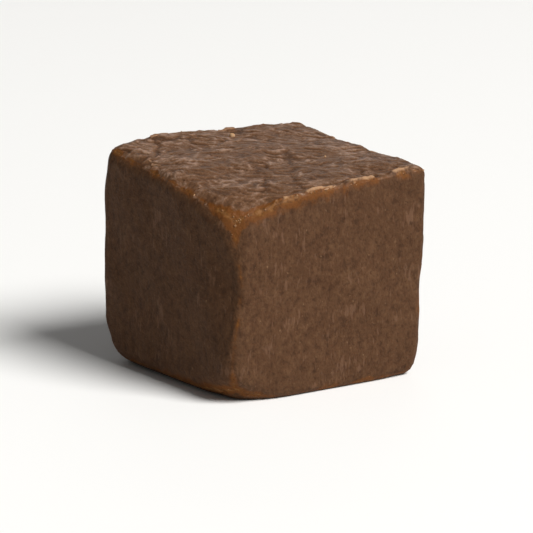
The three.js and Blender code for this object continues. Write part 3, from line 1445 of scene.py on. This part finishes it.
@dataclass
class FudgeBlock:
    """The block itself, with the relief of its cut sides, its skin, its rims and its lip.

    Attributes:
        block: its form.
        grid: how finely its surface is divided.
        cut, skin, rim, lip: its relief.
        finish: what it is made of.
        skin_rim: how far in from the edges the skin's relief reaches its full height.
        foot_fade: the height at which the fine relief reaches its full depth, so that the foot
            stays flat.
    """

    block: CutBlock = CutBlock()
    grid: Grid = Grid((146, 139, 94), 0.45)
    cut: KnifeCut = KnifeCut()
    skin: DriedSkin = DriedSkin()
    rim: WornRim = WornRim()
    lip: DraggedLip = DraggedLip()
    finish: FudgeFinish = FudgeFinish()
    skin_rim: float = 1.2
    foot_fade: float = 0.7

    def relief(self, surface: Surface, skin_height: Array) -> Array:
        """The fine relief: the skin's or the cut's, plus the rim's, fading out at the foot.

        Args:
            surface: the block's surface.
            skin_height: how high the skin would stand at each point.

        Returns:
            How far each point is raised along its normal, in millimetres.
        """
        side = self.cut.height(surface) * (1.0 - surface.skin)
        top = skin_height * surface.skin * rise(surface.to_edge, 0.0, self.skin_rim)
        total = side + top + self.rim.height(surface, self.block)
        return total * rise(surface.points[:, 2], 0.0, self.foot_fade)

    def build(self) -> Surface:
        """Makes the block and hides the solid that it stands for.

        Returns:
            The finished surface, for the crumbs to lie on.
        """
        surface = self.block.surface(self.grid)
        skin_height, crest = self.skin.shape(surface)
        relief = self.relief(surface, skin_height)
        rim, rind = self.rim.bands(surface, self.block)
        lip = self.lip.raised(surface, self.block)
        surface.points = surface.points + surface.normals * relief[:, None]
        surface.points += self.lip.move(surface, self.block)
        surface.normals = normals_of(surface.points, surface.quads)
        marks = {
            Mark.SKIN.value: surface.skin,
            Mark.RIM.value: rim,
            Mark.RIND.value: rind,
            Mark.RELIEF.value: relief,
            Mark.CREST.value: crest,
            Mark.LIP.value: lip,
        }
        piece = make_piece(
            "fudge_block", surface.points, surface.quads, marks, self.finish.material()
        )
        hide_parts(NODE)
        return surface


class TopEdge(Enum):
    """The four edges of the top, by the ways that each faces along X and Y."""

    FRONT = (0, -1)
    BACK = (0, 1)
    LEFT = (-1, 0)
    RIGHT = (1, 0)

    def line(self, surface: Surface) -> Whole:
        """Finds the nodes of the block's surface that lie on this edge.

        Args:
            surface: the block's surface.

        Returns:
            The nodes, in order along the edge.
        """
        places = surface.places
        on_top = places[:, 2] == 1.0
        x_way, y_way = self.value
        across, along = (0, 1) if x_way else (1, 0)
        nodes = np.flatnonzero(on_top & (places[:, across] == x_way + y_way))
        return nodes[np.argsort(surface.points[nodes, along])]


@dataclass(frozen=True)
class Flake:
    """A flake of torn skin on an edge of the top.

    Attributes:
        edge: the edge.
        start, end: where it begins and ends along X or Y, in millimetres.
        reach: how far over the rim it comes at its longest.
        pale: how pale it dried, from 0 to 1.
    """

    edge: TopEdge
    start: float
    end: float
    reach: float
    pale: float = 0.3


@dataclass
class SkinFlakes:
    """Flakes of the skin that the knife tore and bent over the rims.

    Attributes:
        flakes: where they are.
        cells: each one's cells along the edge, over the rim and through its thickness.
        root: how far behind the rim it starts, in millimetres.
        sunk, lift: how deep its root lies in the block, and how far its tip stands off it.
        root_thickness, tip_thickness: how thick it is.
        root_shade: the share of its paleness that its root has.
        tear: its torn outline.
        finish: what it is made of.
    """

    flakes: tuple[Flake, ...] = (
        Flake(TopEdge.FRONT, -5.6, -4.2, 0.35, 0.3),
        Flake(TopEdge.FRONT, -0.9, 1.2, 0.55, 0.6),
        Flake(TopEdge.FRONT, 4.4, 6.3, 0.4, 0.5),
        Flake(TopEdge.FRONT, 9.5, 11.0, 0.35, 0.4),
        Flake(TopEdge.LEFT, -6.0, -4.2, 0.8),
        Flake(TopEdge.LEFT, 2.6, 5.4, 0.9),
        Flake(TopEdge.RIGHT, -5.0, -2.2, 0.7),
        Flake(TopEdge.RIGHT, 4.3, 7.6, 0.6),
        Flake(TopEdge.BACK, -7.4, -5.0, 0.5),
        Flake(TopEdge.BACK, 1.4, 3.6, 0.35),
    )
    cells: tuple[int, int, int] = (60, 8, 1)
    root: float = 0.25
    sunk: float = 0.12
    lift: float = 0.09
    root_thickness: float = 0.12
    tip_thickness: float = 0.06
    root_shade: float = 0.6
    tear: Tear = Tear(Grain(even(1.2), 161, 3), 0.75, 1.2, 0.2, 1.1)
    finish: DryFinish = DryFinish("fudge skin, torn and dried through", "#60412a", "#bb9474")

    def strip(self, flake: Flake, surface: Surface, block: CutBlock) -> tuple[Array, Array]:
        """One flake, bent round the rim.

        It follows an arc about the middle of the rim's rounding, from the root's angle to the
        tip's. The arc's radius grows from the rim's, less the sunk root, to the rim's plus the
        lift. The tear shortens the tip along the edge, and a fourth power draws in both ends.
        Half of the thickness is added to one face's radius and taken from the other's. The rim
        itself lies at 45 degrees on its rounding, so the arc is moved back by that point.

        Args:
            flake: which one.
            surface: the finished block.
            block: its form.

        Returns:
            The flake's points, and how pale each one is.
        """
        places = Grid(self.cells).build()[0]
        line = flake.edge.line(surface)
        x_way, y_way = flake.edge.value
        along = 1 if x_way else 0
        at = flake.start + (flake.end - flake.start) * (1.0 + places[:, 0]) / 2.0
        order = surface.points[line, along]
        rim = np.stack([np.interp(at, order, surface.points[line, k]) for k in range(3)], axis=1)
        radius = np.interp(at, order, block.radius_at(surface.places[line]))
        torn = self.tear.kept(rim) * (1.0 - places[:, 0] ** 4)
        over = (1.0 + places[:, 1]) / 2.0
        angle = (-self.root + (self.root + flake.reach * torn) * over) / radius
        thick = self.root_thickness + (self.tip_thickness - self.root_thickness) * over
        stand = -self.sunk + (self.sunk + self.lift * torn) * over + thick * places[:, 2] / 2.0
        out = np.sin(angle) * (radius + stand) - radius * math.sqrt(0.5)
        up = np.cos(angle) * (radius + stand) - radius * math.sqrt(0.5)
        points = rim + out[:, None] * np.array([x_way, y_way, 0.0])
        points[:, 2] += up
        return points, flake.pale * (self.root_shade + (1.0 - self.root_shade) * over)

    def build(self, surface: Surface, block: CutBlock) -> bpy.types.Object:
        """Makes the flakes.

        Args:
            surface: the finished block.
            block: its form.

        Returns:
            The piece.
        """
        strips = [self.strip(flake, surface, block) for flake in self.flakes]
        quads = Grid(self.cells).build()[1]
        faces = []
        for index, flake in enumerate(self.flakes):
            # Along the front and right edges the strip's three ways are left-handed.
            turned = flake.edge in (TopEdge.FRONT, TopEdge.RIGHT)
            own = quads[:, ::-1] if turned else quads
            faces.append(own + index * len(strips[index][0]))
        points = np.concatenate([points for points, _ in strips])
        shade = np.concatenate([shade for _, shade in strips])
        material = self.finish.material()
        return make_piece("skin_flakes", points, np.concatenate(faces), {"shade": shade}, material)


@dataclass
class RimCrumbs:
    """Crumbs that cling to the block, most of them on its front top rim.

    Attributes:
        count: how many are scattered.
        smallest, largest: their radii in millimetres.
        placed: single crumbs that lie on top: their X, Y and radius.
        reach: how far in from an edge the scattered ones lie.
        clear: how high above the floor the lowest ones lie.
        rim_place: where a side's rim begins, as a place from 0 to 1.
        anywhere, on_top, on_front, at_corner: how likely a crumb is along every edge, and how
            much more so along the top's edges, its front edge, and round the slumped corner.
        corner, corner_reach: the slumped corner, and how far round it that goes, as shares of
            half a side.
        sink: how far a crumb's middle stands out of the block, as a share of its radius. It is
            pressed in where this is below 0.
        stretch, dents: the least and the most that a crumb is stretched along each of three
            ways, and that each of its corners is drawn out.
        palest, placed_shade: the palest shade of a scattered crumb, and that of a placed one.
        seed: which scatter this is.
        finish: what they are made of.
    """

    count: int = 40
    smallest: float = 0.06
    largest: float = 0.17
    placed: tuple[Triple, ...] = ((1.5, 8.7, 0.36), (-12.6, -5.0, 0.15), (6.0, -2.5, 0.12))
    reach: float = 0.9
    clear: float = 1.0
    rim_place: float = 0.93
    anywhere: float = 0.02
    on_top: float = 0.1
    on_front: float = 1.0
    at_corner: float = 0.4
    corner: Triple = (-1.0, -1.0, 1.0)
    corner_reach: float = 0.25
    sink: float = -0.15
    stretch: tuple[float, float] = (0.6, 1.3)
    dents: tuple[float, float] = (0.7, 1.15)
    palest: float = 0.5
    placed_shade: float = 0.9
    seed: int = 7
    finish: DryFinish = DryFinish("crumbs of dried fudge", "#6a4526", "#b08d6a")

    def crumb(self) -> tuple[Array, Whole]:
        """One crumb: a small grid whose nodes are drawn onto a ball of radius 1."""
        places, quads = Grid((3, 3, 3)).build()
        return places / np.linalg.norm(places, axis=1, keepdims=True), quads

    def sites(self, surface: Surface, dice: np.random.Generator) -> Whole:
        """Picks the crumbs' nodes: by chance near the edges, and the nearest to each placed one.

        Args:
            surface: the finished block.
            dice: the source of chance.

        Returns:
            The nodes of the block's surface, the scattered crumbs' first.
        """
        _, v, w = surface.places.T
        weight = hump(surface.to_edge, self.reach / 2.0) * (surface.points[:, 2] > self.clear)
        top = rise(w, self.rim_place, 1.0)
        front = rise(v, -self.rim_place, -1.0)
        away = np.linalg.norm(surface.places - np.array(self.corner), axis=1)
        soft = hump(away, self.corner_reach)
        weight *= (
            self.anywhere + self.on_top * top + self.on_front * top * front + self.at_corner * soft
        )
        thrown = dice.choice(len(weight), self.count, replace=False, p=weight / weight.sum())
        spots = np.array(self.placed)[:, :2]
        gaps = np.linalg.norm(surface.points[None, :, :2] - spots[:, None], axis=2)
        gaps += np.where(surface.places[:, 2] < 1.0, np.inf, 0.0)
        return np.concatenate([thrown, gaps.argmin(axis=1)])

    def build(self, surface: Surface) -> bpy.types.Object:
        """Makes the crumbs and presses them into the block.

        Every crumb is the same ball, stretched along three ways, dented by its own chances,
        turned at random and set on its site, sunk along the normal. A scattered one's radius
        runs from the smallest to the largest with the square of its chance, so most are small.

        Args:
            surface: the finished block.

        Returns:
            The piece.
        """
        dice = np.random.default_rng(self.seed)
        ball, quads = self.crumb()
        sites = self.sites(surface, dice)
        total = len(sites)
        scattered = self.smallest + (self.largest - self.smallest) * dice.random(self.count) ** 2
        radius = np.concatenate([scattered, np.array(self.placed)[:, 2]])
        stretch = dice.uniform(*self.stretch, (total, 1, 3))
        dents = dice.uniform(*self.dents, (total, len(ball), 1))
        turn, _ = np.linalg.qr(dice.normal(size=(total, 3, 3)))
        turn *= np.sign(np.linalg.det(turn))[:, None, None]
        shapes = (ball[None] * dents * stretch) @ turn
        centres = surface.points[sites] + surface.normals[sites] * (radius * self.sink)[:, None]
        points = centres[:, None] + shapes * radius[:, None, None]
        faces = (quads[None] + np.arange(total)[:, None, None] * len(ball)).reshape(-1, 4)
        scattered_shade = dice.random(self.count) * self.palest
        placed_shade = np.full(len(self.placed), self.placed_shade)
        tone = np.concatenate([scattered_shade, placed_shade])
        shade = {"shade": np.repeat(tone, len(ball))}
        return make_piece("rim_crumbs", points.reshape(-1, 3), faces, shade, self.finish.material())


# ---------------------------------------------------------------------------------------------
# The studio
# ---------------------------------------------------------------------------------------------

@dataclass
class Studio:
    """A pale floor, soft light from the right, and a camera just above the cube's top.

    Attributes:
        azimuth, elevation: where the camera stands, in degrees. Azimuth 0 looks along +Y.
        distance: how far it stands from what it looks at, in metres.
        target: what it looks at.
        lens, sensor: its focal length, and the width of its picture, in millimetres.
        nearest, furthest: what it sees, in metres.
        key_azimuth, key_elevation: where the main light stands, in degrees.
        key_distance, key_size, key_power: its distance and width in metres, and its watts.
        back_azimuth, back_elevation, back_power: the weaker light behind the cube, which gives
            the skin its sheen. It stands as far away and is as wide as the main one.
        sky: how bright the surroundings are.
        floor_size: the floor's width in metres.
        floor_colour, floor_roughness: the card's white, and how dull it is.
    """

    azimuth: float = -33.9
    elevation: float = 13.6
    distance: float = 0.392
    target: Triple = (0.00016, -0.00011, 0.0111)
    lens: float = 245.3
    sensor: float = 36.0
    nearest: float = 0.01
    furthest: float = 20.0
    key_azimuth: float = 18.0
    key_elevation: float = 46.0
    key_distance: float = 3.0
    key_size: float = 1.6
    key_power: float = 131.0
    back_azimuth: float = 146.0
    back_elevation: float = 17.0
    back_power: float = 6.0
    sky: float = 0.135
    floor_size: float = 6.0
    floor_colour: str = "#f3f2ef"
    floor_roughness: float = 0.85

    def way_to(self, azimuth: float, elevation: float) -> Vector:
        """The way from the cube to a thing, as three shares of the distance.

        Args:
            azimuth, elevation: where the thing stands, in degrees.

        Returns:
            A vector of length 1.
        """
        turn, tilt = math.radians(azimuth), math.radians(elevation)
        level = math.cos(tilt)
        return Vector((math.sin(turn) * level, -math.cos(turn) * level, math.sin(tilt)))

    def place(self, thing: bpy.types.Object, azimuth: float, elevation: float, far: float) -> None:
        """Stands a camera or a light so that it looks at the target.

        Args:
            thing: the camera or the light.
            azimuth, elevation: where it stands, in degrees.
            far: how far away, in metres.
        """
        way = self.way_to(azimuth, elevation)
        thing.location = Vector(self.target) + way * far
        thing.rotation_mode = "QUATERNION"
        thing.rotation_quaternion = (-way).to_track_quat("-Z", "Y")
        bpy.context.collection.objects.link(thing)

    def floor(self) -> None:
        """Lays the floor: a square of matt white card under the cube."""
        material, tree = new_material("matt white card")
        inputs = {"Base Color": self.floor_colour, "Roughness": self.floor_roughness}
        shader = add_node(tree, "ShaderNodeBsdfPrincipled", inputs)
        add_node(tree, "ShaderNodeOutputMaterial", {"Surface": shader.outputs[0]})
        half = self.floor_size / 2.0
        corners = [(-half, -half, 0.0), (half, -half, 0.0), (half, half, 0.0), (-half, half, 0.0)]
        mesh = bpy.data.meshes.new("floor")
        mesh.from_pydata(corners, [], [(0, 1, 2, 3)])
        mesh.materials.append(material)
        floor = bpy.data.objects.new("floor", mesh)
        bpy.context.collection.objects.link(floor)

    def light(self) -> None:
        """Hangs the two soft lights and sets the even light of the surroundings."""
        for name, azimuth, elevation, power in (
            ("key light", self.key_azimuth, self.key_elevation, self.key_power),
            ("back light", self.back_azimuth, self.back_elevation, self.back_power),
        ):
            lamp = bpy.data.lights.new(name, "AREA")
            lamp.shape = "DISK"
            lamp.size = self.key_size
            lamp.energy = power
            self.place(bpy.data.objects.new(name, lamp), azimuth, elevation, self.key_distance)
        world = bpy.data.worlds.new("studio walls")
        world.use_nodes = True
        sky = world.node_tree.nodes["Background"]
        sky.inputs["Color"].default_value = (1.0, 1.0, 1.0, 1.0)
        sky.inputs["Strength"].default_value = self.sky
        bpy.context.scene.world = world

    def camera(self) -> None:
        """Stands the camera and makes it the scene's own."""
        lens = bpy.data.cameras.new("camera")
        lens.sensor_width = self.sensor
        lens.lens = self.lens
        lens.clip_start = self.nearest
        lens.clip_end = self.furthest
        camera = bpy.data.objects.new("camera", lens)
        self.place(camera, self.azimuth, self.elevation, self.distance)
        bpy.context.scene.camera = camera

    def build(self) -> None:
        """Sets up the floor, the light and the camera, with colours shown as they are."""
        self.floor()
        self.light()
        self.camera()
        bpy.context.scene.view_settings.view_transform = "Standard"
        log.info("studio: floor, two lights and camera")


def main() -> None:
    """Builds the fudge, then its flakes and crumbs, then the studio."""
    logging.basicConfig(level=logging.INFO, format="%(name)s: %(message)s")
    fudge = FudgeBlock()
    surface = fudge.build()
    SkinFlakes().build(surface, fudge.block)
    RimCrumbs().build(surface)
    Studio().build()


if __name__ == "__main__":
    main()
